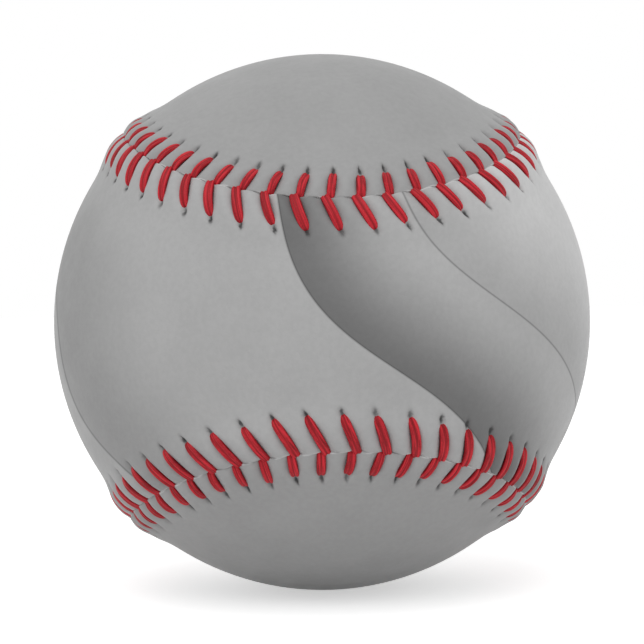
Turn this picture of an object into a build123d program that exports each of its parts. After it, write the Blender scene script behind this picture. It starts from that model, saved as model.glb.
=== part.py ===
from build123d import *
import math
import os

# Cushioned centre: a cork ball in two black rubber halves with a red gasket between them, moulded over in red
cork_diameter = 20.6
black_rubber_thickness = 3.2
gasket_thickness = 1.6
red_rubber_thickness = 3.15

# Windings, from the centre out, and the coat of adhesive that holds the cover
inner_grey_wool_thickness = 14.65
white_wool_thickness = 1.75
outer_grey_wool_thickness = 2.25
cotton_thickness = 0.5
adhesive_thickness = 0.15

# Cover: two figure-eight leather panels that meet at one seam
leather_thickness = 1.25
panel_waist_width = 31.4
seam_gap = 0.3

# Shape of the seam: how far it sways sideways, and how far its bends are squared off
seam_sway_share = 0.337
seam_square_share = -0.04

# Stitching: a leg of thread from each needle hole to the seam
stitch_count = 108
stitch_phase_share = 0.64
thread_diameter = 1.0
thread_clearance = 0.05
thread_lift = 0.15

# Needle holes: how far each side's lie from the seam, and how far ahead of their stitch
front_hole_reach = 4.5
front_hole_lead = 1.6
back_hole_reach = 3.7
back_hole_lead = 0.8

# How far a cutting tool runs past the skin that it cuts
cut_overrun = 1.0

# Sides of the seam
FRONT = -1
BACK = 1

# Radii of the layers
cork_radius = cork_diameter / 2
black_radius = cork_radius + black_rubber_thickness
red_radius = black_radius + red_rubber_thickness
inner_grey_radius = red_radius + inner_grey_wool_thickness
white_radius = inner_grey_radius + white_wool_thickness
outer_grey_radius = white_radius + outer_grey_wool_thickness
cotton_radius = outer_grey_radius + cotton_thickness
adhesive_radius = cotton_radius + adhesive_thickness
cover_radius = adhesive_radius + leather_thickness

# Points and spans around the seam's curve, and the radius of the inner curve that keeps its section upright
seam_points = 96
seam_spans = 12
guide_radius = cork_radius

# A leg of thread bends over tightly at each end and lies just clear of the leather
thread_radius = thread_diameter / 2
thread_bend_radius = thread_radius + thread_clearance
thread_line_radius = cover_radius + thread_radius + thread_lift
thread_foot_radius = adhesive_radius + thread_clearance


def seam_direction(turn):
    """Unit vector to the seam, which closes after two turns about the front panel's waist."""
    waist_angle = panel_waist_width / (2 * cover_radius)
    swing = (1 - seam_square_share) * math.cos(turn) + seam_square_share * math.cos(3 * turn)
    tilt = math.pi / 2 - (math.pi / 2 - waist_angle) * swing
    bearing = turn / 2 + seam_sway_share * math.sin(2 * turn)
    return Vector(
        math.sin(tilt) * math.sin(bearing), -math.cos(tilt), math.sin(tilt) * math.cos(bearing)
    )


def seam_curve(radius):
    """The seam's closed curve at a radius, in spans that end where they begin."""
    loop = Edge.make_spline([direction * radius for direction in seam_directions], periodic=True)
    ends = [span / seam_spans for span in range(seam_spans + 1)]
    return [loop.trim(start, end) for start, end in zip(ends, ends[1:])]


seam_directions = [seam_direction(4 * math.pi * i / seam_points) for i in range(seam_points)]

with BuildLine() as seam:
    add(seam_curve(cover_radius))

with BuildLine() as guide:
    add(seam_curve(guide_radius))

seam_wire = seam.wires()[0]
seam_start = seam_wire.position_at(0)
seam_section = Plane(
    origin=seam_start, x_dir=seam_start.cross(seam_wire.tangent_at(0)), z_dir=seam_wire.tangent_at(0)
)

stitch_pitch = seam_wire.length / stitch_count


def stitch_places(side):
    """Frames at the ball's centre for one side's legs: x along the seam, z out through it."""
    places = []
    for stitch in range(stitch_count):
        share = (stitch + stitch_phase_share + side / 4) / stitch_count % 1
        along = seam_wire.tangent_at(share)
        places.append(Plane(origin=(0, 0, 0), x_dir=along, z_dir=seam_wire.position_at(share)).location)
    return places


def cover_direction(along, across):
    """Unit vector to the cover at arc lengths along and across the seam from a stitch."""
    reach = math.hypot(along, across)
    angle = reach / cover_radius
    return Vector(
        math.sin(angle) * along / reach, math.sin(angle) * across / reach, math.cos(angle)
    )


def hole_direction(side):
    """Unit vector to a leg's needle hole from where that leg goes down into the seam."""
    lead = front_hole_lead if side == FRONT else back_hole_lead
    reach = front_hole_reach if side == FRONT else back_hole_reach
    return cover_direction(lead - side * stitch_pitch / 4, side * reach)


def stitch_leg(side):
    """A leg of thread up through the needle hole, over the leather and down to the seam."""
    hole = hole_direction(side)
    dive = Vector(0, 0, 1)
    with BuildPart() as leg:
        with BuildLine() as path:
            FilletPolyline(
                hole * thread_foot_radius,
                hole * thread_line_radius,
                dive * thread_line_radius,
                dive * cover_radius,
                radius=thread_bend_radius,
            )
        with BuildSketch(Plane(origin=hole * thread_foot_radius, z_dir=hole)):
            Circle(thread_radius)
        sweep(path=path.wires()[0])
    return leg.part


def needle_hole(side):
    """A cutter through the leather for a leg of thread."""
    hole = hole_direction(side)
    with BuildPart() as cutter:
        with BuildSketch(Plane(origin=hole * (adhesive_radius - cut_overrun), z_dir=hole)):
            Circle(thread_radius + thread_clearance)
        extrude(amount=leather_thickness + 2 * cut_overrun)
    return cutter.part


with BuildPart() as cork_core:
    Sphere(cork_radius)

with BuildPart() as black_shell_upper:
    Sphere(black_radius)
    Sphere(cork_radius, mode=Mode.SUBTRACT)
    split(bisect_by=Plane.XY.offset(gasket_thickness / 2), keep=Keep.TOP)

with BuildPart() as black_shell_lower:
    mirror(black_shell_upper.part, about=Plane.XY)

with BuildPart() as red_gasket:
    Sphere(black_radius)
    Sphere(cork_radius, mode=Mode.SUBTRACT)
    split(bisect_by=Plane.XY.offset(gasket_thickness / 2), keep=Keep.BOTTOM)
    split(bisect_by=Plane.XY.offset(-gasket_thickness / 2), keep=Keep.TOP)

with BuildPart() as red_shell:
    Sphere(red_radius)
    Sphere(black_radius, mode=Mode.SUBTRACT)

with BuildPart() as grey_wool_inner:
    Sphere(inner_grey_radius)
    Sphere(red_radius, mode=Mode.SUBTRACT)

with BuildPart() as white_wool:
    Sphere(white_radius)
    Sphere(inner_grey_radius, mode=Mode.SUBTRACT)

with BuildPart() as grey_wool_outer:
    Sphere(outer_grey_radius)
    Sphere(white_radius, mode=Mode.SUBTRACT)

with BuildPart() as cotton_winding:
    Sphere(cotton_radius)
    Sphere(outer_grey_radius, mode=Mode.SUBTRACT)

with BuildPart() as adhesive_coat:
    Sphere(adhesive_radius)
    Sphere(cotton_radius, mode=Mode.SUBTRACT)

slot_depth = leather_thickness + 2 * cut_overrun

with BuildPart() as seam_slot:
    with BuildSketch(seam_section):
        with Locations((0, cut_overrun - slot_depth / 2)):
            Rectangle(seam_gap, slot_depth)
    sweep(path=seam_wire, binormal=guide.wires()[0])

# The seam's spans stay separate faces in the cover
with BuildPart() as cover:
    Sphere(cover_radius)
    Sphere(adhesive_radius, mode=Mode.SUBTRACT)
    add(seam_slot.part, mode=Mode.SUBTRACT, clean=False)

with BuildPart() as cover_panel_front:
    add(cover.solids().sort_by(Axis.Y)[0], clean=False)
    with Locations(*stitch_places(FRONT)):
        add(needle_hole(FRONT), mode=Mode.SUBTRACT, clean=False)

with BuildPart() as cover_panel_back:
    add(cover.solids().sort_by(Axis.Y)[-1], clean=False)
    with Locations(*stitch_places(BACK)):
        add(needle_hole(BACK), mode=Mode.SUBTRACT, clean=False)

with BuildPart() as stitches_front:
    with Locations(*stitch_places(FRONT)):
        add(stitch_leg(FRONT))

with BuildPart() as stitches_back:
    with Locations(*stitch_places(BACK)):
        add(stitch_leg(BACK))

pieces = {
    "cork_core": cork_core,
    "black_shell_upper": black_shell_upper,
    "black_shell_lower": black_shell_lower,
    "red_gasket": red_gasket,
    "red_shell": red_shell,
    "grey_wool_inner": grey_wool_inner,
    "white_wool": white_wool,
    "grey_wool_outer": grey_wool_outer,
    "cotton_winding": cotton_winding,
    "adhesive_coat": adhesive_coat,
    "cover_panel_front": cover_panel_front,
    "cover_panel_back": cover_panel_back,
    "stitches_front": stitches_front,
    "stitches_back": stitches_back,
}

os.makedirs("parts", exist_ok=True)
for name, piece in pieces.items():
    piece.part.label = name
    export_step(piece.part, f"parts/{name}.step")
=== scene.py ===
import logging
import math
import random
from dataclasses import dataclass, field
from enum import Enum
from typing import Any

import bmesh
import bpy
import numpy as np
from mathutils import Matrix, Vector


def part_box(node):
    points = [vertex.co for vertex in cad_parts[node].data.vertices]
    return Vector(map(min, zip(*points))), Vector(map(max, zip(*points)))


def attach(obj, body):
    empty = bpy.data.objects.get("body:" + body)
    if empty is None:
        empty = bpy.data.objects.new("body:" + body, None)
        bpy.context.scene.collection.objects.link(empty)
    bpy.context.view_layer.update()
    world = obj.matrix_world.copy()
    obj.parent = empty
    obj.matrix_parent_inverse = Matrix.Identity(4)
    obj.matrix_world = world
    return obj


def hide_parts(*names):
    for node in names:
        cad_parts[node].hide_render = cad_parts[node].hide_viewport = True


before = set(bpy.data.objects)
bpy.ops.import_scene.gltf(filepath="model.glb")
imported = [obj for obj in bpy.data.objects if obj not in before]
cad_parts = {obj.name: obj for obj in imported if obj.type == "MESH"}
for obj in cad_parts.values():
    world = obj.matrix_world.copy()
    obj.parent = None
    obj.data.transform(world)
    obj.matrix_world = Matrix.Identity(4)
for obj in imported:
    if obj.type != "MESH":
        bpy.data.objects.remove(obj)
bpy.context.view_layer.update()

Colour = tuple[float, float, float, float]
Socket = bpy.types.NodeSocket
Number = float | Socket

log = logging.getLogger("baseball")

# Meshes are in metres and finishes in millimetres.
MM = 0.001
BODY = "root"
IMAGE_PIXELS = 644
SEWING_MAP = "sewing"
# Millimetres to one unit across the seam on the sewing map.
SEWING_MAP_UNIT = 10.0
LAY_MAP = "lay"


class Side(Enum):
    """The two sides of the seam, by the sign of the way across it."""

    FRONT = -1
    BACK = 1


class Step(Enum):
    """Arithmetic steps in a node tree, by Blender's names."""

    ADD = "ADD"
    SUBTRACT = "SUBTRACT"
    MULTIPLY = "MULTIPLY"
    DIVIDE = "DIVIDE"
    POWER = "POWER"
    SQUARE_ROOT = "SQRT"
    ABSOLUTE = "ABSOLUTE"
    FRACTION = "FRACT"
    SINE = "SINE"
    COSINE = "COSINE"
    LARGEST = "MAXIMUM"
    EXCEEDS = "GREATER_THAN"


class CellMeasure(Enum):
    """What is measured in a pattern of cells, by Blender's names."""

    FROM_MIDDLE = "F1"
    FROM_EDGE = "DISTANCE_TO_EDGE"


def grey(level: float) -> Colour:
    """A neutral colour of a linear level."""
    return (level, level, level, 1.0)


def bell(offset: np.ndarray) -> np.ndarray:
    """A bell curve that is 1 in the middle, one unit wide."""
    return np.exp(-(offset**2))


def fade(offset: np.ndarray) -> np.ndarray:
    """A smooth step from 1 down to 0, one unit long."""
    return 1 / (1 + np.exp(offset))


@dataclass(frozen=True)
class Mottle:
    """Soft noise that eases a value from its start to its end.

    Args:
        size: Size of the noise's features, in millimetres.
        detail: Octaves of finer features.
        low: Noise level where the change begins.
        high: Noise level where it is done.
        start: The value up to low.
        end: The value from high on.
    """

    size: float
    detail: float
    low: float = 0.3
    high: float = 0.7
    start: float = 0.0
    end: float = 1.0


class Graph:
    """Adds and links the nodes of one node tree."""

    def __init__(self, tree: bpy.types.NodeTree) -> None:
        """Takes a tree to add to."""
        self.tree = tree

    def put(self, node: bpy.types.Node, inputs: dict[Any, Any]) -> None:
        """Sets a node's sockets, linking those that are given another node's output.

        Args:
            node: The node to set.
            inputs: Socket name or number to a value or an output socket.
        """
        for key, value in inputs.items():
            if isinstance(value, Socket):
                self.tree.links.new(value, node.inputs[key])
            else:
                node.inputs[key].default_value = value

    def node(self, kind: str, inputs: dict[Any, Any], **settings: Any) -> bpy.types.Node:
        """Adds a node.

        Args:
            kind: The node's type, without its ShaderNode prefix.
            inputs: Socket name or number to a value or an output socket.
            settings: The node's own properties.

        Returns:
            The new node.
        """
        made = self.tree.nodes.new("ShaderNode" + kind)
        for key, value in settings.items():
            setattr(made, key, value)
        self.put(made, inputs)
        return made

    def math(self, step: Step, first: Number, *others: Number) -> Socket:
        """Takes numbers or sockets through an arithmetic step, from the first to the last.

        Args:
            step: The step.
            first: What it starts from.
            others: What it takes in after that, in order. A step on one number has none.

        Returns:
            The output socket.
        """
        if not others:
            return self.node("Math", {0: first}, operation=step.value).outputs[0]
        result = first
        for other in others:
            result = self.node("Math", {0: result, 1: other}, operation=step.value).outputs[0]
        return result

    def plus(self, *values: Number) -> Socket:
        """The sum of numbers or sockets."""
        return self.math(Step.ADD, *values)

    def minus(self, first: Number, second: Number) -> Socket:
        """The first number or socket less the second."""
        return self.math(Step.SUBTRACT, first, second)

    def times(self, *values: Number) -> Socket:
        """The product of numbers or sockets."""
        return self.math(Step.MULTIPLY, *values)

    def ramp(self, value: Number, low: float, high: float, start: float = 0.0, end: float = 1.0) -> Socket:
        """Eases from start to end as a value goes from low to high.

        Args:
            value: The number or socket to follow.
            low: Where the change begins.
            high: Where it is done.
            start: The result up to low.
            end: The result from high on.

        Returns:
            The output socket.
        """
        inputs = {"Value": value, "From Min": low, "From Max": high, "To Min": start, "To Max": end}
        return self.node("MapRange", inputs, interpolation_type="SMOOTHSTEP").outputs["Result"]

    def blend(self, share: Number, first: Number, second: Number) -> Socket:
        """Mixes two numbers by a share of the second."""
        return self.node("Mix", {0: share, 2: first, 3: second}, data_type="FLOAT").outputs[0]

    def mix(self, share: Number, first: Colour | Socket, second: Colour | Socket) -> Socket:
        """Mixes two colours by a share of the second."""
        return self.node("Mix", {0: share, 6: first, 7: second}, data_type="RGBA").outputs[2]

    def parts(self, vector: Socket) -> dict[str, Socket]:
        """The X, Y and Z of a vector, by those names."""
        split = self.node("SeparateXYZ", {"Vector": vector})
        return {axis: split.outputs[axis] for axis in "XYZ"}

    def vectors(self, step: Step, first: Socket, second: Any) -> Socket:
        """Takes two vectors through an arithmetic step, part by part."""
        return self.node("VectorMath", {0: first, 1: second}, operation=step.value).outputs["Vector"]

    def uv(self, name: str) -> Socket:
        """Coordinates on one of the piece's UV maps."""
        return self.node("UVMap", {}, uv_map=name).outputs["UV"]

    def millimetres(self) -> Socket:
        """Object coordinates in millimetres."""
        place = self.node("TexCoord", {}).outputs["Object"]
        return self.node("VectorMath", {0: place, "Scale": 1 / MM}, operation="SCALE").outputs["Vector"]

    def noise(self, place: Socket, size: float, detail: float = 3.0) -> Socket:
        """Soft noise with features of a size in millimetres."""
        inputs = {"Vector": place, "Scale": 1 / size, "Detail": detail}
        return self.node("TexNoise", inputs).outputs["Fac"]

    def mottle(self, place: Socket, look: Mottle) -> Socket:
        """A value that soft noise eases between two ends."""
        return self.ramp(self.noise(place, look.size, look.detail), look.low, look.high, look.start, look.end)

    def cells(self, place: Socket, size: float, measure: CellMeasure) -> Socket:
        """Distances in a pattern of cells of a size in millimetres."""
        inputs = {"Vector": place, "Scale": 1 / size}
        return self.node("TexVoronoi", inputs, feature=measure.value).outputs["Distance"]

    def seen(self) -> Socket:
        """1 on rays that show the background: from the camera, mirrored or through glass."""
        rays = self.node("LightPath", {}).outputs
        shown = (rays[kind] for kind in ("Is Camera Ray", "Is Glossy Ray", "Is Transmission Ray"))
        return self.math(Step.LARGEST, *shown)


class MaterialGraph(Graph):
    """The nodes of one material with a principled shader."""

    def __init__(self, name: str) -> None:
        """Starts a material.

        Args:
            name: The material's name.
        """
        self.material = bpy.data.materials.new(name)
        self.material.use_nodes = True
        super().__init__(self.material.node_tree)
        self.tree.nodes.clear()
        self.shader = self.node("BsdfPrincipled", {})
        self.node("OutputMaterial", {"Surface": self.shader.outputs["BSDF"]})

    def bump(self, height: Number, depth: float, strength: float) -> None:
        """Roughens the shader's normals by a height field.

        Args:
            height: The height field, from 0 to about 1.
            depth: Its depth, in millimetres.
            strength: How much of it shows.
        """
        made = self.node("Bump", {"Height": height, "Distance": depth * MM, "Strength": strength})
        self.put(self.shader, {"Normal": made.outputs["Normal"]})


@dataclass(frozen=True)
class LeatherFinish:
    """Smooth grey leather with needle holes, and soft shaded waves printed on it where it has any.

    Lengths are in millimetres. The needle holes and the smudge about them are painted shade: ovals that fade
    outwards from a core.

    Args:
        name: The material's name.
        tone: The leather's linear grey.
        pitch: Distance between needle holes.
        waves: For each printed wave, its edge's place across the print, its tone and its shaded share.
        shade_width: How far past its edge a wave is shaded.
        hole_turn: How far a hole leans along the seam for each millimetre across it.
        hole_patches: How dark the painted shade in the holes is from place to place.
        rim_width: How far the pale cut edge reaches from the seam, painted lighter partly as a pale cut edge
            and partly as a painted highlight.
        rim_patches: Where along the seam it shows.
    """

    name: str
    tone: float
    pitch: float
    waves: tuple[tuple[float, float, float], ...] = ()
    wave_turn: float = math.radians(30)
    wave_height: float = 4.5
    wave_length: float = 58.0
    wave_phase: float = 0.9
    shade_width: float = 15.0
    line_width: float = 0.22
    line_tone: float = 0.55
    hole_shade_tone: float = 0.045
    hole_turn: float = 0.22
    hole_size: tuple[float, float] = (0.27, 0.72)
    hole_shift: float = 0.12
    hole_core: float = 0.3
    smudge_size: tuple[float, float] = (0.48, 1.05)
    smudge_shift: float = 0.15
    smudge_core: float = -0.1
    smudge_shade_share: float = 0.42
    oval_end: float = 1.1
    wobble_size: float = 0.5
    wobble: float = 0.5
    hole_patches: Mottle = Mottle(size=4.0, detail=1.0, low=0.36, high=0.56, start=0.4)
    rim_width: float = 0.2
    rim_full_share: float = 0.2
    cut_edge_and_highlight_tone: float = 0.62
    cut_edge_and_highlight_share: float = 0.75
    rim_patches: Mottle = Mottle(size=2.2, detail=2.0, low=0.42, high=0.6)
    clouds: Mottle = Mottle(size=9.0, detail=4.0, start=0.975, end=1.025)
    flecks: Mottle = Mottle(size=0.7, detail=3.0, start=0.975, end=1.025)
    roughness: Mottle = Mottle(size=2.5, detail=3.0, low=0.25, high=0.75, start=0.5, end=0.6)
    specular: float = 0.3
    pore_size: float = 0.55
    pore_width: float = 0.45
    pore_share: float = 0.45
    crease_size: float = 1.6
    crease_detail: float = 5.0
    grain_depth: float = 0.035
    grain_strength: float = 0.55

    def print_tone(self, graph: MaterialGraph, place: Socket) -> Number:
        """The grey of the leather with its printed waves.

        Args:
            graph: The material's graph.
            place: Position in millimetres.

        Returns:
            A number or an output socket.
        """
        tone: Number = self.tone
        if not self.waves:
            return tone
        parts = graph.parts(place)
        cosine, sine = math.cos(self.wave_turn), math.sin(self.wave_turn)
        across = graph.plus(graph.times(parts["X"], cosine), graph.times(parts["Z"], sine))
        along = graph.minus(graph.times(parts["Z"], cosine), graph.times(parts["X"], sine))
        angle = graph.plus(graph.times(along, 2 * math.pi / self.wave_length), self.wave_phase)
        swayed = graph.plus(across, graph.times(graph.math(Step.SINE, angle), self.wave_height))
        for edge, level, shade in self.waves:
            past = graph.minus(swayed, edge)
            lit = graph.ramp(past, 0.0, self.shade_width, level * shade, level)
            tone = graph.blend(graph.math(Step.EXCEEDS, past, 0.0), tone, lit)
            line = graph.ramp(graph.math(Step.ABSOLUTE, past), 0.0, self.line_width, self.line_tone, 1.0)
            tone = graph.times(tone, line)
        return tone

    def hole_shade_shares(self, graph: MaterialGraph, place: Socket) -> tuple[Socket, Socket]:
        """How much painted shade each point gets from the needle holes and from the soft smudge about them.

        Args:
            graph: The material's graph.
            place: Position in millimetres.

        Returns:
            The shares of painted shade from the hole and from the smudge.
        """
        parts = graph.parts(graph.uv(SEWING_MAP))
        turn = graph.minus(graph.math(Step.FRACTION, graph.plus(parts["X"], 0.5)), 0.5)
        wobble = graph.times(graph.minus(graph.noise(place, self.wobble_size), 0.5), self.wobble)
        out = graph.times(parts["Y"], SEWING_MAP_UNIT)
        along = graph.plus(graph.times(turn, self.pitch), wobble, graph.times(out, self.hole_turn))
        shares = []
        for (width, length), shift, core in (
            (self.hole_size, self.hole_shift, self.hole_core),
            (self.smudge_size, self.smudge_shift, self.smudge_core),
        ):
            wide = graph.math(Step.POWER, graph.math(Step.DIVIDE, along, width), 2.0)
            high = graph.math(Step.POWER, graph.math(Step.DIVIDE, graph.minus(out, shift), length), 2.0)
            away = graph.math(Step.SQUARE_ROOT, graph.plus(wide, high))
            shares.append(graph.ramp(away, core, self.oval_end, 1.0, 0.0))
        hole, smudge_shade = shares
        return graph.times(hole, graph.mottle(place, self.hole_patches)), smudge_shade

    def rim(self, graph: MaterialGraph, place: Socket) -> Socket:
        """How much of the panel's pale edge shows, in places, along the seam: partly a pale cut edge, partly
        a painted highlight.

        Args:
            graph: The material's graph.
            place: Position in millimetres.

        Returns:
            The share of the pale edge and its painted highlight.
        """
        away = graph.node("Attribute", {}, attribute_name="away").outputs["Fac"]
        width = self.rim_width * MM
        edge = graph.ramp(away, self.rim_full_share * width, width, self.cut_edge_and_highlight_share, 0.0)
        return graph.times(edge, graph.mottle(place, self.rim_patches))

    def material(self) -> bpy.types.Material:
        """Builds the leather's material.

        Returns:
            The material.
        """
        graph = MaterialGraph(self.name)
        place = graph.millimetres()
        clouds = graph.mottle(place, self.clouds)
        tone = graph.times(self.print_tone(graph, place), clouds, graph.mottle(place, self.flecks))
        # Painted shade: the needle holes and the soft smudge about them darken the leather's colour.
        hole, smudge_shade = self.hole_shade_shares(graph, place)
        tone = graph.times(tone, graph.minus(1.0, graph.times(smudge_shade, self.smudge_shade_share)))
        colour = graph.node("CombineColor", {0: tone, 1: tone, 2: tone}).outputs["Color"]
        # Painted highlight: the panel's edge along the seam is lightened, partly as a pale cut edge and
        # partly as a highlight.
        colour = graph.mix(self.rim(graph, place), colour, grey(self.cut_edge_and_highlight_tone))
        # Painted shade: each needle hole is painted dark over its dimple.
        graph.put(graph.shader, {"Base Color": graph.mix(hole, colour, grey(self.hole_shade_tone))})
        roughness = graph.mottle(place, self.roughness)
        graph.put(graph.shader, {"Roughness": roughness, "Specular IOR Level": self.specular})
        pores = graph.ramp(graph.cells(place, self.pore_size, CellMeasure.FROM_MIDDLE), 0.0, self.pore_width)
        creases = graph.noise(place, self.crease_size, self.crease_detail)
        grain = graph.plus(graph.times(pores, self.pore_share), graph.times(creases, 1 - self.pore_share))
        graph.bump(grain, self.grain_depth, self.grain_strength)
        return graph.material


@dataclass(frozen=True)
class ThreadFinish:
    """Waxed red thread: fibres run along each leg, and painted shade darkens the groove between its two
    strands and the leg's sides and underside.

    Args:
        groove_shade_tone: The brightness left in the groove by its painted shade.
        side_shade_height: How far up the leg's sides the painted shade reaches.
        twist: The fibres' turn along a leg, in radians.
        leg_change: How much the fibres change for each millimetre over the ball.
    """

    name: str = "waxed_red_thread"
    bright: Colour = (0.66, 0.027, 0.041, 1.0)
    deep: Colour = (0.21, 0.004, 0.008, 1.0)
    groove_shade_width: float = 0.42
    groove_shade_tone: float = 0.3
    side_shade_height: float = 0.55
    edge_tone: float = 0.4
    fibres_round: float = 2.6
    fibres_along: float = 1.3
    fibre_detail: float = 3.0
    twist: float = 0.5
    leg_change: float = 0.2
    fuzz_size: float = 0.16
    fuzz_detail: float = 4.0
    fuzz_share: float = 0.25
    shade_limits: tuple[float, float] = (0.32, 0.66)
    fuzz_limits: tuple[float, float] = (0.3, 0.7)
    roughness: tuple[float, float] = (0.42, 0.58)
    specular: float = 0.2
    fuzz_relief: float = 0.5
    relief_depth: float = 0.06
    relief_strength: float = 0.6

    def fibres(self, graph: MaterialGraph, place: Socket, along: Socket, angle: Socket) -> Socket:
        """Noise drawn out along the twisted strands, different on every leg.

        Args:
            graph: The material's graph.
            place: Position in millimetres.
            along: Share of the way along the leg.
            angle: Angle round the leg.

        Returns:
            The noise.
        """
        turned = graph.plus(angle, graph.times(along, self.twist))
        lay = {
            "X": graph.times(graph.math(Step.COSINE, turned), self.fibres_round),
            "Y": graph.times(graph.math(Step.SINE, turned), self.fibres_round),
            "Z": graph.times(along, self.fibres_along),
        }
        strand = graph.node("CombineXYZ", lay).outputs["Vector"]
        leg = graph.vectors(Step.MULTIPLY, place, (self.leg_change,) * 3)
        return graph.noise(graph.vectors(Step.ADD, strand, leg), 1.0, self.fibre_detail)

    def material(self) -> bpy.types.Material:
        """Builds the thread's material.

        Returns:
            The material.
        """
        graph = MaterialGraph(self.name)
        place = graph.millimetres()
        parts = graph.parts(graph.uv(LAY_MAP))
        angle = graph.times(parts["Y"], 2 * math.pi)
        fibre = self.fibres(graph, place, parts["X"], angle)
        fuzz = graph.noise(place, self.fuzz_size, self.fuzz_detail)
        # Painted shade: the groove between the strands and the leg's sides and underside are darkened.
        level = graph.math(Step.ABSOLUTE, graph.math(Step.COSINE, angle))
        groove = graph.ramp(level, 0.0, self.groove_shade_width, self.groove_shade_tone, 1.0)
        edge = graph.ramp(graph.math(Step.SINE, angle), 0.0, self.side_shade_height, self.edge_tone, 1.0)
        shade = graph.plus(graph.times(fibre, 1 - self.fuzz_share), graph.times(fuzz, self.fuzz_share))
        shade = graph.times(graph.ramp(shade, *self.shade_limits), groove, edge)
        graph.put(graph.shader, {"Base Color": graph.mix(shade, self.deep, self.bright)})
        roughness = graph.ramp(fuzz, *self.fuzz_limits, *self.roughness)
        graph.put(graph.shader, {"Roughness": roughness, "Specular IOR Level": self.specular})
        relief = graph.plus(fibre, graph.times(fuzz, self.fuzz_relief))
        graph.bump(relief, self.relief_depth, self.relief_strength)
        return graph.material


@dataclass(frozen=True)
class YarnFinish:
    """Yarn wound in bands that cross at many angles, with painted shade in the hollows between them.

    Args:
        name: The material's name.
        light: The colour of the yarn's crests.
        dark: The colour of the hollows between them, which is painted shade.
        yarn: The yarn's width in millimetres.
        windings: The turn of each set of bands, about X, Y and Z.
    """

    name: str
    light: Colour
    dark: Colour
    yarn: float
    windings: tuple[tuple[float, float, float], ...] = (
        (0.0, 0.3, 0.2), (1.1, 0.2, 0.9), (0.4, 1.3, 2.0), (2.1, 0.7, 1.2)
    )
    band_wobble: float = 1.2
    band_detail: float = 2.0
    patch_yarns: float = 9
    patch_detail: float = 1.0
    patch_limits: tuple[float, float] = (0.46, 0.54)
    fuzz_yarns: float = 0.25
    fuzz_detail: float = 5.0
    fuzz_relief: float = 0.4
    shade_limits: tuple[float, float] = (0.2, 1.1)
    fuzz_limits: tuple[float, float] = (0.3, 0.7)
    roughness: tuple[float, float] = (0.82, 0.95)
    sheen: float = 0.3
    relief_yarns: float = 0.4
    relief_strength: float = 0.8

    def material(self) -> bpy.types.Material:
        """Builds the yarn's material.

        Returns:
            The material.
        """
        graph = MaterialGraph(self.name)
        place = graph.millimetres()
        wave = {"Scale": 1 / self.yarn, "Distortion": self.band_wobble, "Detail": self.band_detail}
        height: Number = 0.0
        for turn in self.windings:
            turned = graph.node("Mapping", {"Vector": place, "Rotation": turn}).outputs["Vector"]
            bands = graph.node("TexWave", {"Vector": turned, **wave}).outputs["Fac"]
            patches = graph.noise(turned, self.yarn * self.patch_yarns, self.patch_detail)
            height = graph.blend(graph.ramp(patches, *self.patch_limits), height, bands)
        fuzz = graph.noise(place, self.yarn * self.fuzz_yarns, self.fuzz_detail)
        height = graph.plus(height, graph.times(fuzz, self.fuzz_relief))
        # Painted shade: the colour follows the yarn's height and is darker in its hollows.
        shade = graph.ramp(height, *self.shade_limits)
        graph.put(graph.shader, {"Base Color": graph.mix(shade, self.dark, self.light)})
        roughness = graph.ramp(fuzz, *self.fuzz_limits, *self.roughness)
        graph.put(graph.shader, {"Roughness": roughness, "Sheen Weight": self.sheen})
        graph.bump(height, self.yarn * self.relief_yarns, self.relief_strength)
        return graph.material


@dataclass(frozen=True)
class RubberFinish:
    """Moulded rubber or dried adhesive, faintly mottled.

    Args:
        name: The material's name.
        light: The palest colour that it is mottled with.
        dark: The darkest.
        roughness: Its middle roughness.
    """

    name: str
    light: Colour
    dark: Colour
    roughness: float
    roughness_stray: float = 0.08
    patches: Mottle = Mottle(size=1.8, detail=4.0)
    gloss_size: float = 0.6
    gloss_detail: float = 3.0
    grain_size: float = 0.35
    grain_detail: float = 4.0
    grain_depth: float = 0.03
    grain_strength: float = 0.5

    def material(self) -> bpy.types.Material:
        """Builds the rubber's material.

        Returns:
            The material.
        """
        graph = MaterialGraph(self.name)
        place = graph.millimetres()
        patches = graph.mottle(place, self.patches)
        graph.put(graph.shader, {"Base Color": graph.mix(patches, self.dark, self.light)})
        least, most = self.roughness - self.roughness_stray, self.roughness + self.roughness_stray
        gloss = Mottle(self.gloss_size, self.gloss_detail, start=least, end=most)
        graph.put(graph.shader, {"Roughness": graph.mottle(place, gloss)})
        grain = graph.noise(place, self.grain_size, self.grain_detail)
        graph.bump(grain, self.grain_depth, self.grain_strength)
        return graph.material


@dataclass(frozen=True)
class CorkFinish:
    """Ground cork granules bound together, with their sizes in millimetres."""

    name: str = "ground_cork"
    light: Colour = (0.50, 0.31, 0.16, 1.0)
    dark: Colour = (0.17, 0.08, 0.04, 1.0)
    granule: float = 1.6
    speck_size: float = 0.3
    speck_detail: float = 3.0
    granule_detail: float = 1.0
    edge_width: float = 0.12
    edge_tone: float = 0.35
    shade_limits: tuple[float, float] = (0.7, 1.3)
    roughness: tuple[float, float] = (0.78, 0.92)
    relief_depth: float = 0.12
    relief_strength: float = 0.7

    def material(self) -> bpy.types.Material:
        """Builds the cork's material.

        Returns:
            The material.
        """
        graph = MaterialGraph(self.name)
        place = graph.millimetres()
        granules = graph.node("TexVoronoi", {"Vector": place, "Scale": 1 / self.granule}).outputs["Color"]
        specks = graph.noise(place, self.speck_size, self.speck_detail)
        shade = graph.plus(graph.noise(granules, self.speck_size, self.granule_detail), specks)
        rim = graph.cells(place, self.granule, CellMeasure.FROM_EDGE)
        edge = graph.ramp(rim, 0.0, self.edge_width, self.edge_tone, 1.0)
        share = graph.times(graph.ramp(shade, *self.shade_limits), edge)
        graph.put(graph.shader, {"Base Color": graph.mix(share, self.dark, self.light)})
        graph.put(graph.shader, {"Roughness": graph.ramp(shade, *self.shade_limits, *self.roughness)})
        graph.bump(share, self.relief_depth, self.relief_strength)
        return graph.material


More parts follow.
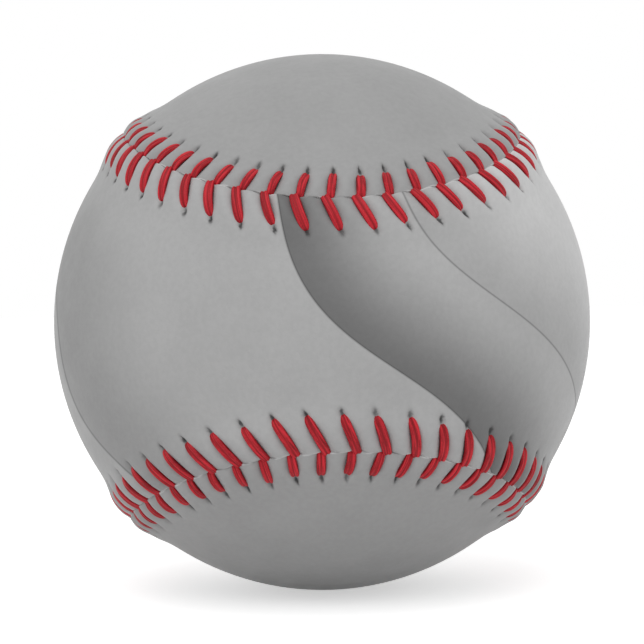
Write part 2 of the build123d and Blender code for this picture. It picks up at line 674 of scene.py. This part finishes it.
@dataclass
class Seam:
    """The closed curve where the two panels meet, by arc length.

    Args:
        radius: The ball's radius.
        waist: Width of a panel's waist, over the ball.
        sway_share: How far the curve sways as it goes round the waist.
        square_share: How square its lobes are.
        stitches: Stitches on each side.
        phase_share: Where the first stitch lies, as a share of the distance between stitches.
        samples: Steps in which its length is measured.
    """

    radius: float
    waist: float = 31.4 * MM
    sway_share: float = 0.337
    square_share: float = -0.04
    stitches: int = 108
    phase_share: float = 0.64
    samples: int = 40000
    turns: np.ndarray = field(init=False)
    arcs: np.ndarray = field(init=False)

    def __post_init__(self) -> None:
        """Works out arc length along the whole curve."""
        self.turns = np.linspace(0.0, 4 * math.pi, self.samples + 1)
        steps = np.linalg.norm(np.diff(self.directions(self.turns), axis=0), axis=1)
        self.arcs = np.concatenate([[0.0], np.cumsum(steps)]) * self.radius

    @property
    def length(self) -> float:
        """The seam's whole length."""
        return float(self.arcs[-1])

    @property
    def pitch(self) -> float:
        """Distance from stitch to stitch."""
        return self.length / self.stitches

    def directions(self, turns: np.ndarray) -> np.ndarray:
        """Unit vectors to the seam.

        Args:
            turns: Angles about the front panel's waist, from 0 to 4 pi once round the seam.

        Returns:
            One row of x, y and z for each angle.
        """
        swing = (1 - self.square_share) * np.cos(turns) + self.square_share * np.cos(3 * turns)
        tilt = math.pi / 2 - (math.pi / 2 - self.waist / (2 * self.radius)) * swing
        bearing = turns / 2 + self.sway_share * np.sin(2 * turns)
        flat = np.sin(tilt)
        return np.stack([flat * np.sin(bearing), -np.cos(tilt), flat * np.cos(bearing)], axis=-1)

    def turn_at(self, arcs: np.ndarray) -> np.ndarray:
        """Angles at arc lengths along the seam."""
        return np.interp(np.mod(arcs, self.length), self.arcs, self.turns)

    def spots(self, arcs: np.ndarray, reach: np.ndarray, side: Side) -> np.ndarray:
        """Unit vectors to points beside the seam.

        Args:
            arcs: Arc lengths along the seam.
            reach: Distances across from it, over the ball.
            side: The side of the seam to go to.

        Returns:
            One row of x, y and z for each point.
        """
        turns = self.turn_at(arcs)
        small = 2 * math.pi / self.samples
        out = self.directions(turns)
        along = self.directions(turns + small) - self.directions(turns - small)
        across = np.cross(out, along)
        across /= np.linalg.norm(across, axis=-1, keepdims=True)
        angle = (side.value * np.asarray(reach) / self.radius)[..., None]
        return out * np.cos(angle) + across * np.sin(angle)


@dataclass
class Sewing:
    """How one side of the seam is sewn and how its leather puckers about the thread.

    The leather rises in a hump along the seam, dips and drops at its cut edge, swells in a pillow
    between each two legs, and sinks in a valley under each leg and in a dimple at each needle hole.

    Args:
        seam: The seam.
        side: The side of it.
        start: How far along the seam from its stitch's middle a leg crosses it.
        tuck: How far across the seam a leg begins, below zero on the other side.
        lead: How far along the seam from its stitch's middle a needle hole lies.
        lead_sway: How far that drifts.
        reach: How far across the seam a needle hole lies.
        reach_sway: How far that drifts.
        seed: Start of the draws for this side.
        leg_short: The least and the most that a leg ends short of its hole.
        stray_limit: Share of the way to its hole past which a stray no longer grows.
        pillow_level: Share of a pillow's height that lies below the hump.
    """

    seam: Seam
    side: Side
    start: float
    tuck: float
    lead: float
    lead_sway: float
    reach: float
    reach_sway: float
    seed: int
    leg_short: tuple[float, float] = (0.08 * MM, 0.62 * MM)
    uneven: float = 0.13 * MM
    stray_limit: float = 1.5
    hump_height: float = 0.72 * MM
    hump_end: float = 5.2 * MM
    hump_fade: float = 0.7 * MM
    dip_depth: float = 0.12 * MM
    dip_reach: float = 0.9 * MM
    edge_drop: float = 0.08 * MM
    edge_reach: float = 0.14 * MM
    pillow_height: float = 1.0 * MM
    pillow_level: float = 0.55
    pillow_power: float = 1.3
    pillow_end: float = 0.78
    pillow_fade: float = 0.11
    pillow_flat: float = 0.3
    pillow_flat_reach: float = 0.8 * MM
    valley_depth: float = 0.12 * MM
    valley_width: float = 0.5 * MM
    valley_start: float = 0.5 * MM
    valley_fade: float = 0.22 * MM
    dimple_depth: float = 0.5 * MM
    dimple_size: tuple[float, float] = (0.36 * MM, 0.6 * MM)
    strays: np.ndarray = field(init=False)

    def __post_init__(self) -> None:
        """Draws how far each needle hole strays along the seam."""
        draw = random.Random(self.seed)
        self.strays = np.array([draw.uniform(-self.uneven, self.uneven) for _ in range(self.seam.stitches)])

    def leads_at(self, turns: np.ndarray) -> np.ndarray:
        """How far a needle hole lies ahead of its stitch's middle, without its own stray."""
        return self.lead + self.lead_sway * np.sin(turns)

    def reaches_at(self, turns: np.ndarray) -> np.ndarray:
        """How far the needle holes lie from the seam, which drifts slowly as the ball is sewn."""
        return self.reach - self.reach_sway * np.cos(turns / 2)

    def phases(self, arcs: np.ndarray, reach: np.ndarray) -> np.ndarray:
        """Stitch number at each point, whole on a leg of thread.

        Args:
            arcs: Arc lengths along the seam.
            reach: Distances across from it.

        Returns:
            Stitch numbers, growing along the seam.
        """
        turns = self.seam.turn_at(arcs)
        share = reach / self.reaches_at(turns)
        slant = self.start + (self.leads_at(turns) - self.start) * share
        phase = (arcs - slant) / self.seam.pitch - self.seam.phase_share
        stray = self.strays[np.mod(np.rint(phase).astype(int), self.seam.stitches)]
        return phase - stray * np.minimum(share, self.stray_limit) / self.seam.pitch

    def hump(self, reach: np.ndarray) -> np.ndarray:
        """Height of the raised seam at distances across from it."""
        return self.hump_height * fade((reach - self.hump_end) / self.hump_fade)

    def heights(self, phases: np.ndarray, reach: np.ndarray, holes: np.ndarray) -> np.ndarray:
        """Height of the leather over the plain ball.

        Args:
            phases: Stitch numbers.
            reach: Distances across from the seam.
            holes: Distances of the needle holes from the seam.

        Returns:
            Heights in metres.
        """
        aside = (phases - np.rint(phases)) * self.seam.pitch
        puff = np.abs(np.sin(math.pi * phases)) ** self.pillow_power
        swell = fade((reach / holes - self.pillow_end) / self.pillow_fade)
        flat = 1 - self.pillow_flat * bell(reach / self.pillow_flat_reach)
        under = fade((reach - holes) / self.valley_fade)
        past_start = 1 - bell(reach / self.valley_start)
        width, length = self.dimple_size
        hole = (aside / width) ** 2 + ((reach - holes) / length) ** 2
        return (
            self.hump(reach)
            - self.dip_depth * bell(reach / self.dip_reach)
            + self.pillow_height * swell * flat * (puff - self.pillow_level)
            - self.valley_depth * bell(aside / self.valley_width) * under * past_start
            - self.dimple_depth * np.exp(-hole)
            - self.edge_drop * bell(reach / self.edge_reach)
        )


def extrude_row(
    bm: bmesh.types.BMesh, edges: list[bmesh.types.BMEdge]
) -> tuple[list[bmesh.types.BMVert], list[bmesh.types.BMEdge]]:
    """Extrudes a row of edges into a new row.

    Args:
        bm: The mesh.
        edges: The row's edges.

    Returns:
        The new row's vertices and edges.
    """
    made = bmesh.ops.extrude_edge_only(bm, edges=edges)["geom"]
    verts = [item for item in made if isinstance(item, bmesh.types.BMVert)]
    fresh = set(verts)
    row = [item for item in made if isinstance(item, bmesh.types.BMEdge) and set(item.verts) <= fresh]
    return verts, row


def to_object(bm: bmesh.types.BMesh, name: str, material: bpy.types.Material) -> bpy.types.Object:
    """Makes an object of the scene from a bmesh.

    Args:
        bm: The mesh, which is freed.
        name: The object's name.
        material: Its finish.

    Returns:
        The object, at the origin.
    """
    mesh = bpy.data.meshes.new(name)
    bm.to_mesh(mesh)
    bm.free()
    mesh.materials.append(material)
    made = bpy.data.objects.new(name, mesh)
    bpy.context.scene.collection.objects.link(made)
    return made


@dataclass
class CoverPanel:
    """One figure-eight leather panel: a puckered strip along the seam, a smooth middle and an inner face.

    Args:
        name: The piece's name.
        node: The solid that it stands for.
        slot: Its material slot's name, which is not used.
        sewing: How its side of the seam is sewn.
        finish: Its leather.
        bed_radius: Radius of the coat that it lies on.
        clearance: Room between that coat and the inner face.
        strip_crowding: How much closer the strip's mesh rows are near the seam.
        weld: Distance under which vertices are merged.
    """

    name: str
    node: str
    slot: str
    sewing: Sewing
    finish: LeatherFinish
    bed_radius: float
    clearance: float = 0.06 * MM
    columns_per_stitch: int = 16
    strip_rows: int = 30
    strip_width: float = 9.0 * MM
    strip_crowding: float = 1.55
    seam_gap: float = 0.024 * MM
    middle_rungs: int = 28
    inner_rungs: int = 20
    inner_margin: float = 2.0 * MM
    weld: float = 0.001 * MM

    @property
    def columns(self) -> int:
        """Mesh columns round the seam."""
        return self.columns_per_stitch * self.sewing.seam.stitches

    def set_row(
        self, bm: bmesh.types.BMesh, verts: list[bmesh.types.BMVert], reach: float, floor: float | None = None
    ) -> None:
        """Places one row of vertices that runs along the seam.

        Args:
            bm: The mesh.
            verts: The row's vertices, which know their column.
            reach: The row's distance from the seam.
            floor: The radius of the row, or nothing for the leather's outer face.
        """
        seam = self.sewing.seam
        arcs = np.arange(self.columns) * seam.length / self.columns
        reaches = np.full(self.columns, reach)
        holes = self.sewing.reaches_at(seam.turn_at(arcs))
        phases = self.sewing.phases(arcs, reaches)
        radii = seam.radius + self.sewing.heights(phases, reaches, holes)
        if floor is not None:
            radii = np.full(self.columns, floor)
        places = seam.spots(arcs, reaches, self.sewing.side) * radii[:, None]
        column = bm.verts.layers.int["column"]
        phase_layer = bm.verts.layers.float["phase"]
        reach_layer = bm.verts.layers.float["reach"]
        away_layer = bm.verts.layers.float["away"]
        for vert in verts:
            index = vert[column]
            vert.co = places[index]
            vert[phase_layer] = phases[index]
            vert[reach_layer] = reach - holes[index]
            vert[away_layer] = reach

    def fill(self, bm: bmesh.types.BMesh, edges: list[bmesh.types.BMEdge], rungs: int) -> None:
        """Fills a row that runs round the panel with arcs from one half to its mirror image.

        Args:
            bm: The mesh.
            edges: The closed row's edges.
            rungs: Faces from half to half.
        """
        column = bm.verts.layers.int["column"]
        reach_layer = bm.verts.layers.float["reach"]
        away_layer = bm.verts.layers.float["away"]
        count = self.columns
        mirror = count // 2 if self.sewing.side is Side.FRONT else 0
        first = mirror // 2 - count // 2
        places = {vert[column]: vert.co.copy() for edge in edges for vert in edge.verts}
        half = {(first + step) % count for step in range(count // 2 + 1)}
        tips = {first % count, (first + count // 2) % count}
        chain = [edge for edge in edges if {vert[column] for vert in edge.verts} <= half]
        chain = [edge for edge in chain if {vert[column] for vert in edge.verts} != tips]
        for rung in range(1, rungs + 1):
            verts, chain = extrude_row(bm, chain)
            for vert in verts:
                start = places[vert[column]]
                end = places[(mirror - vert[column]) % count]
                way = start.normalized().slerp(end.normalized(), rung / rungs, start.normalized())
                vert.co = way * (start.length + (end.length - start.length) * rung / rungs)
                vert[reach_layer] = self.strip_width
                vert[away_layer] = self.strip_width
        bmesh.ops.remove_doubles(bm, verts=bm.verts, dist=self.weld)
        ends = [vert for vert in bm.verts if min((vert.co - places[tip]).length for tip in tips) < self.weld]
        bmesh.ops.dissolve_verts(bm, verts=ends)

    def unwrap(self, bm: bmesh.types.BMesh) -> None:
        """Smooths the faces and writes stitch number and distance past the needle holes as a UV map.

        Args:
            bm: The mesh.
        """
        phase_layer = bm.verts.layers.float["phase"]
        reach_layer = bm.verts.layers.float["reach"]
        layer = bm.loops.layers.uv.new(SEWING_MAP)
        stitches = self.sewing.seam.stitches
        for face in bm.faces:
            face.smooth = True
            top = max(vert[phase_layer] for vert in face.verts)
            for loop in face.loops:
                phase = loop.vert[phase_layer]
                if top - phase > stitches / 2:
                    phase += stitches
                loop[layer].uv = (phase, loop.vert[reach_layer] / (SEWING_MAP_UNIT * MM))

    def build(self) -> bpy.types.Object:
        """Returns:
            The panel's object.
        """
        bm = bmesh.new()
        column = bm.verts.layers.int.new("column")
        for name in ("phase", "reach", "away"):
            bm.verts.layers.float.new(name)
        rim = bmesh.ops.create_circle(bm, segments=self.columns, radius=self.sewing.seam.radius)["verts"]
        for index, vert in enumerate(rim):
            vert[column] = index
        rim_edges = list(bm.edges)
        edge_reach = self.seam_gap / 2
        self.set_row(bm, rim, edge_reach)
        outer_edges = rim_edges
        for row in range(1, self.strip_rows + 1):
            verts, outer_edges = extrude_row(bm, outer_edges)
            share = (row / self.strip_rows) ** self.strip_crowding
            self.set_row(bm, verts, edge_reach + (self.strip_width - edge_reach) * share)
        inner_edges = rim_edges
        for reach in (edge_reach, self.inner_margin):
            verts, inner_edges = extrude_row(bm, inner_edges)
            self.set_row(bm, verts, reach, self.bed_radius + self.clearance)
        self.fill(bm, inner_edges, self.inner_rungs)
        self.fill(bm, [edge for edge in outer_edges if edge.is_valid], self.middle_rungs)
        bmesh.ops.recalc_face_normals(bm, faces=bm.faces)
        self.unwrap(bm)
        panel = to_object(bm, self.name, self.finish.material())
        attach(panel, BODY)
        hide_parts(self.node)
        return panel


@dataclass
class Stitches:
    """The legs of thread on one side of the seam, each of two strands pressed together side by side.

    Args:
        name: The piece's name.
        node: The solid that it stands for.
        slot: Its material slot's name, which is not used.
        sewing: How this side of the seam is sewn.
        finish: Its thread.
        girth: The thread's thickness, as a share of the pattern's.
        sink: How deep a leg's middle line lies below the hump.
        tuck_depth: How much deeper it lies at the seam.
        strand_spacing: A strand's distance from the leg's middle line.
        strand_angles: The angles of the points on its outer side.
        groove_share: Half thickness at the groove, as a share of a strand's radius.
        ring_shares: Where along a leg its mesh rings lie.
        head_share: Share of a leg, at the seam, where it is thinner and tucked in.
        tip_share: Share of a leg, at its hole, where it is thinner.
        hole_share: Share of a leg, at its hole, where it turns down.
        arch: A leg's rise between its ends.
        slope_share: Share of a leg over which its direction is measured.
    """

    name: str
    node: str
    slot: str
    sewing: Sewing
    finish: ThreadFinish
    girth: float
    sink: float
    tuck_depth: float
    strand_radius: float = 0.43 * MM
    strand_spacing: float = 0.27 * MM
    strand_angles: tuple[float, ...] = (-90, -30, 30, 90)
    groove_share: float = 0.2
    ring_shares: tuple[float, ...] = (0.0, 0.06, 0.26, 0.5, 0.74, 0.93, 0.985, 1.0)
    head_share: float = 0.08
    head_loss: float = 0.14
    tip_share: float = 0.06
    tip_loss: float = 0.3
    hole_share: float = 0.055
    hole_depth: float = 0.5 * MM
    twist: float = math.radians(16)
    twist_range: tuple[float, float] = (-0.5, 1.0)
    bow: float = 0.2 * MM
    bow_range: tuple[float, float] = (-1.0, 0.35)
    arch: float = 0.3 * MM
    arch_level: float = 0.5
    thickness_stray: float = 0.09
    slope_share: float = 0.01
    levels: int = 1

    def section(self) -> list[tuple[float, float]]:
        """The leg's cross-section: the outline of two strands with a groove between them.

        Returns:
            Points across and up, in order round the leg.
        """
        radius = self.strand_radius
        angles = [math.radians(angle) for angle in self.strand_angles]
        right = [(self.strand_spacing + radius * math.cos(a), radius * math.sin(a)) for a in angles]
        left = [(-wide, high) for wide, high in reversed(right)]
        groove = radius * self.groove_share
        return [*right, (0.0, groove), *left, (0.0, -groove)]

    def pattern(self) -> bpy.types.Mesh:
        """A leg's mesh in its own terms: x from seam to hole, y across the leg and z up.

        Returns:
            The mesh, with a lay map along and round the leg.
        """
        bm = bmesh.new()
        section = self.section()
        ring = bmesh.ops.create_circle(bm, segments=len(section), radius=self.strand_radius)["verts"]
        for vert, (wide, high) in zip(ring, section):
            vert.co = (0.0, wide, high)
        edges = list(bm.edges)
        for start, end in zip(self.ring_shares, self.ring_shares[1:]):
            verts, edges = extrude_row(bm, edges)
            bmesh.ops.translate(bm, vec=(end - start, 0, 0), verts=verts)
        bmesh.ops.holes_fill(bm, edges=[edge for edge in bm.edges if edge.is_boundary], sides=0)
        bmesh.ops.recalc_face_normals(bm, faces=bm.faces)
        if bm.calc_volume(signed=True) < 0:
            bmesh.ops.reverse_faces(bm, faces=bm.faces)
        layer = bm.loops.layers.uv.new(LAY_MAP)
        for face in bm.faces:
            face.smooth = True
            turns = [math.atan2(loop.vert.co.z, loop.vert.co.y) / (2 * math.pi) for loop in face.loops]
            for loop, turn in zip(face.loops, turns):
                loop[layer].uv = (loop.vert.co.x, turn + (1.0 if max(turns) - turn > 0.5 else 0.0))
        mesh = bpy.data.meshes.new(self.name + "_leg")
        bm.to_mesh(mesh)
        bm.free()
        return mesh

    def leg(self, stitch: int, shape: np.ndarray, draw: random.Random) -> np.ndarray:
        """Bends the pattern into one leg.

        Args:
            stitch: The stitch's number.
            shape: The pattern's vertices.
            draw: Source of small differences between legs.

        Returns:
            The leg's vertices in metres.
        """
        sewing = self.sewing
        seam = sewing.seam
        middle = (stitch + seam.phase_share) * seam.pitch
        turn = seam.turn_at(np.array([middle]))
        lead = float(sewing.leads_at(turn)[0]) + sewing.strays[stitch]
        hole = float(sewing.reaches_at(turn)[0])
        bow = draw.uniform(*self.bow_range) * self.bow
        thick = self.girth * (1 + draw.uniform(-self.thickness_stray, self.thickness_stray))
        twist = self.twist * draw.uniform(*self.twist_range)
        short = draw.uniform(*sewing.leg_short)

        def line(share: np.ndarray) -> np.ndarray:
            """Points on the leg's middle line.

            Args:
                share: Shares of the way from seam to hole.

            Returns:
                One row of x, y and z for each share.
            """
            reach = sewing.tuck + (hole - short - sewing.tuck) * share
            arcs = middle + sewing.start + (lead - sewing.start) * reach / hole
            arcs = arcs + bow * np.sin(math.pi * share)
            height = sewing.hump(np.abs(reach)) - self.sink
            height = height + self.arch * (self.arch_level - (2 * share - 1) ** 2)
            height = height - self.tuck_depth * bell(share / self.head_share)
            height = height - self.hole_depth * bell((1 - share) / self.hole_share)
            return seam.spots(arcs, reach, sewing.side) * (seam.radius + height)[:, None]

        share = np.clip(shape[:, 0], 0.0, 1.0)
        centre = line(share)
        ahead = line(share + self.slope_share) - line(share - self.slope_share)
        ahead /= np.linalg.norm(ahead, axis=1, keepdims=True)
        out = centre / np.linalg.norm(centre, axis=1, keepdims=True)
        aside = np.cross(out, ahead)
        aside /= np.linalg.norm(aside, axis=1, keepdims=True)
        up = np.cross(ahead, aside)
        full = 1 - self.head_loss * bell(share / self.head_share)
        full = full - self.tip_loss * bell((1 - share) / self.tip_share)
        lean = twist * (share - 0.5)
        wide = (shape[:, 1] * np.cos(lean) - shape[:, 2] * np.sin(lean)) * thick * full
        high = (shape[:, 1] * np.sin(lean) + shape[:, 2] * np.cos(lean)) * thick * full
        return centre + aside * wide[:, None] + up * high[:, None]

    def build(self) -> bpy.types.Object:
        """Returns:
            The piece's object.
        """
        pattern = self.pattern()
        bm = bmesh.new()
        draw = random.Random(self.sewing.seed + 1)
        count = len(pattern.vertices)
        for stitch in range(self.sewing.seam.stitches):
            bm.from_mesh(pattern)
            bm.verts.ensure_lookup_table()
            verts = bm.verts[stitch * count:]
            shape = np.array([vert.co for vert in verts])
            for vert, place in zip(verts, self.leg(stitch, shape, draw)):
                vert.co = place
        bpy.data.meshes.remove(pattern)
        legs = to_object(bm, self.name, self.finish.material())
        rounding = legs.modifiers.new("rounding", "SUBSURF")
        rounding.levels = self.levels
        rounding.render_levels = self.levels
        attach(legs, BODY)
        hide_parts(self.node)
        return legs


@dataclass
class Centre:
    """The layers under the cover, which keep their solids and get their finishes."""

    grey_yarn: YarnFinish = YarnFinish("grey_wool_yarn", grey(0.36), grey(0.16), yarn=1.3)
    white_yarn: YarnFinish = YarnFinish(
        "white_wool_yarn", (0.78, 0.75, 0.68, 1), (0.45, 0.42, 0.36, 1), yarn=1.1
    )
    cotton: YarnFinish = YarnFinish("finishing_yarn", (0.82, 0.80, 0.74, 1), (0.52, 0.50, 0.45, 1), yarn=0.6)
    black: RubberFinish = RubberFinish("black_rubber", grey(0.045), grey(0.02), roughness=0.6)
    red: RubberFinish = RubberFinish(
        "red_rubber", (0.42, 0.06, 0.04, 1), (0.28, 0.03, 0.025, 1), roughness=0.55
    )
    adhesive: RubberFinish = RubberFinish(
        "latex_adhesive", (0.78, 0.72, 0.56, 1), (0.62, 0.55, 0.40, 1), roughness=0.4
    )
    cork: CorkFinish = CorkFinish()

    def dress(self) -> None:
        """Gives each layer its finish."""
        layers = {
            self.cork: ("cork_core",),
            self.black: ("black_shell_upper", "black_shell_lower"),
            self.red: ("red_gasket", "red_shell"),
            self.grey_yarn: ("grey_wool_inner", "grey_wool_outer"),
            self.white_yarn: ("white_wool",),
            self.cotton: ("cotton_winding",),
            self.adhesive: ("adhesive_coat",),
        }
        for finish, nodes in layers.items():
            material = finish.material()
            for node in nodes:
                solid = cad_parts[node]
                solid.data.materials.clear()
                solid.data.materials.append(material)
                log.info("%s: %s", node, material.name)


@dataclass
class Studio:
    """Floor, light and camera.

    Args:
        ball_radius: The ball's radius.
        distance_radii: The camera's distance from the ball's centre, in radii of the ball.
        outline_pixels: Radius of the ball's outline in the picture.
        clip_share: How near the camera sees, as a share of the ball's radius.
        floor_glow: Light that the floor adds where it is seen as background.
    """

    ball_radius: float
    distance_radii: float = 7.0
    azimuth: float = math.radians(-3.9)
    elevation: float = math.radians(0.65)
    roll: float = math.radians(-1.04)
    outline_pixels: float = 268.0
    sensor_mm: float = 36.0
    clip_share: float = 0.1
    floor_size: float = 6.0
    floor_squares: int = 4
    floor_tone: float = 0.92
    floor_roughness: float = 0.9
    floor_glow: float = 0.52
    sky_strength: float = 0.685
    key_watts: float = 1.75
    key_size: float = 0.6
    key_place: tuple[float, float, float] = (-0.12, -0.45, 0.62)

    def floor(self) -> None:
        """Lays the white floor under the ball."""
        bm = bmesh.new()
        squares = self.floor_squares
        bmesh.ops.create_grid(bm, x_segments=squares, y_segments=squares, size=self.floor_size)
        bmesh.ops.translate(bm, vec=(0, 0, -self.ball_radius), verts=bm.verts)
        graph = MaterialGraph("floor_white")
        look = {
            "Base Color": grey(self.floor_tone),
            "Roughness": self.floor_roughness,
            "Specular IOR Level": 0.0,
            "Emission Color": grey(1.0),
            "Emission Strength": graph.times(graph.seen(), self.floor_glow),
        }
        graph.put(graph.shader, look)
        floor = to_object(bm, "floor", graph.material)

    def sky(self) -> None:
        """Sets even light from all round, which the camera sees as white."""
        world = bpy.data.worlds.new("studio")
        world.use_nodes = True
        bpy.context.scene.world = world
        graph = Graph(world.node_tree)
        levels = {"Value": graph.seen(), "To Min": self.sky_strength, "To Max": 1.0}
        strength = graph.node("MapRange", levels).outputs["Result"]
        graph.put(world.node_tree.nodes["Background"], {"Color": grey(1.0), "Strength": strength})

    def key(self) -> None:
        """Hangs one broad lamp above and in front."""
        lamp = bpy.data.lights.new("key", "AREA")
        lamp.energy = self.key_watts
        lamp.size = self.key_size
        key = bpy.data.objects.new("key", lamp)
        key.location = self.key_place
        key.rotation_euler = (-Vector(self.key_place)).to_track_quat("-Z", "Y").to_euler()
        bpy.context.scene.collection.objects.link(key)

    def camera(self) -> None:
        """Sets the photograph's view: its angle, its perspective and the ball's size in the frame."""
        data = bpy.data.cameras.new("camera")
        focal_pixels = self.outline_pixels * math.sqrt(self.distance_radii**2 - 1)
        data.sensor_width = self.sensor_mm
        data.lens = focal_pixels / IMAGE_PIXELS * self.sensor_mm
        data.clip_start = self.ball_radius * self.clip_share
        camera = bpy.data.objects.new("camera", data)
        flat = math.cos(self.elevation)
        sideways, forwards = math.sin(self.azimuth) * flat, -math.cos(self.azimuth) * flat
        back = Vector((sideways, forwards, math.sin(self.elevation)))
        place = Matrix.Translation(back * self.distance_radii * self.ball_radius)
        turn = back.to_track_quat("Z", "Y").to_matrix().to_4x4()
        camera.matrix_world = place @ turn @ Matrix.Rotation(self.roll, 4, "Z")
        bpy.context.scene.collection.objects.link(camera)
        bpy.context.scene.camera = camera

    def build(self) -> None:
        """Sets the stage."""
        bpy.context.scene.view_settings.view_transform = "Standard"
        self.floor()
        self.sky()
        self.key()
        self.camera()


def main() -> None:
    """Builds the ball's cover and stitches, dresses its layers and sets the stage."""
    logging.basicConfig(level=logging.INFO)
    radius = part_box("cover_panel_front")[1].x
    bed_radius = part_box("adhesive_coat")[1].x
    seam = Seam(radius)
    front = Sewing(
        seam, Side.FRONT, start=-0.31 * MM, tuck=-0.35 * MM, lead=1.53 * MM, lead_sway=-0.12 * MM,
        reach=4.55 * MM, reach_sway=0.3 * MM, seed=11,
    )
    back = Sewing(
        seam, Side.BACK, start=0.31 * MM, tuck=0.0, lead=0.8 * MM, lead_sway=-0.9 * MM,
        reach=3.7 * MM, reach_sway=0.0, seed=23,
    )
    pitch = seam.pitch / MM
    waves = ((-30.0, 0.41, 0.7), (3.0, 0.43, 0.36), (19.0, 0.60, 0.66))
    printed = LeatherFinish("printed_grey_leather", tone=0.38, pitch=pitch, waves=waves)
    plain = LeatherFinish("plain_grey_leather", tone=0.345, pitch=pitch)
    thread = ThreadFinish()
    pieces = (
        CoverPanel("panel_front", "cover_panel_front", "printed_leather", front, printed, bed_radius),
        CoverPanel("panel_back", "cover_panel_back", "plain_leather", back, plain, bed_radius),
        Stitches(
            "thread_front", "stitches_front", "red_thread", front, thread,
            girth=1.01, sink=0.08 * MM, tuck_depth=0.14 * MM,
        ),
        Stitches(
            "thread_back", "stitches_back", "red_thread", back, thread,
            girth=0.9, sink=0.12 * MM, tuck_depth=0.26 * MM,
        ),
    )
    for piece in pieces:
        made = piece.build()
        log.info("%s: %d faces", made.name, len(made.data.polygons))
    Centre().dress()
    Studio(radius).build()


if __name__ == "__main__":
    main()
